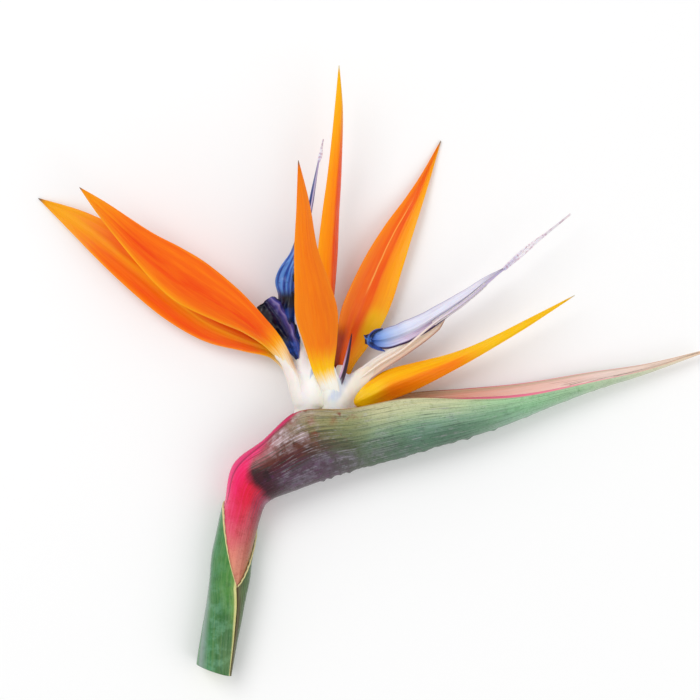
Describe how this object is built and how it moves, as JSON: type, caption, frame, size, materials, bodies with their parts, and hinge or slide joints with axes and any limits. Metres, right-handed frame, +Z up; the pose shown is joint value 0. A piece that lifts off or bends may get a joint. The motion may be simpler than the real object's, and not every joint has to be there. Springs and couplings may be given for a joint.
{
  "type": "bird of paradise flower",
  "caption": "Cut tropical flower lying on its side: orange sepals and blue arrow-shaped petals rising from a long boat-shaped green bract on a short stem.",
  "frame": {"origin": "middle of the flower's outline on the surface that it lies on", "axes": "+Z up from that surface; +X along the boat-shaped bract towards its tip; +Y the way the flowers open"},
  "size_m": [0.2474, 0.2251, 0.0562],
  "materials": {
    "stem": "satin",
    "sheath": "satin",
    "spathe": "satin",
    "base": "satin",
    "sepal": "satin",
    "arrow_dark": "satin",
    "arrow_pale": "satin",
    "small_petal": "satin",
    "anthers": "matte",
    "style": "satin"
  },
  "bodies": {
    "root": {"stem": "stem", "stem_sheath": "sheath", "spathe": "spathe", "flower_1_base": "base", "flower_2_base": "base", "flower_1_sepal_lower": "sepal", "flower_1_sepal_upper": "sepal", "flower_1_sepal_keeled": "sepal", "flower_2_sepal_front": "sepal", "flower_2_sepal_back": "sepal", "flower_2_sepal_keeled": "sepal", "flower_1_arrow": "arrow_dark", "flower_2_arrow": "arrow_pale", "flower_1_small_petal": "small_petal", "flower_2_small_petal": "small_petal", "flower_1_stamens": "anthers", "flower_2_stamens": "anthers", "flower_1_style": "style", "flower_2_style": "style"}
  },
  "joints": []
}
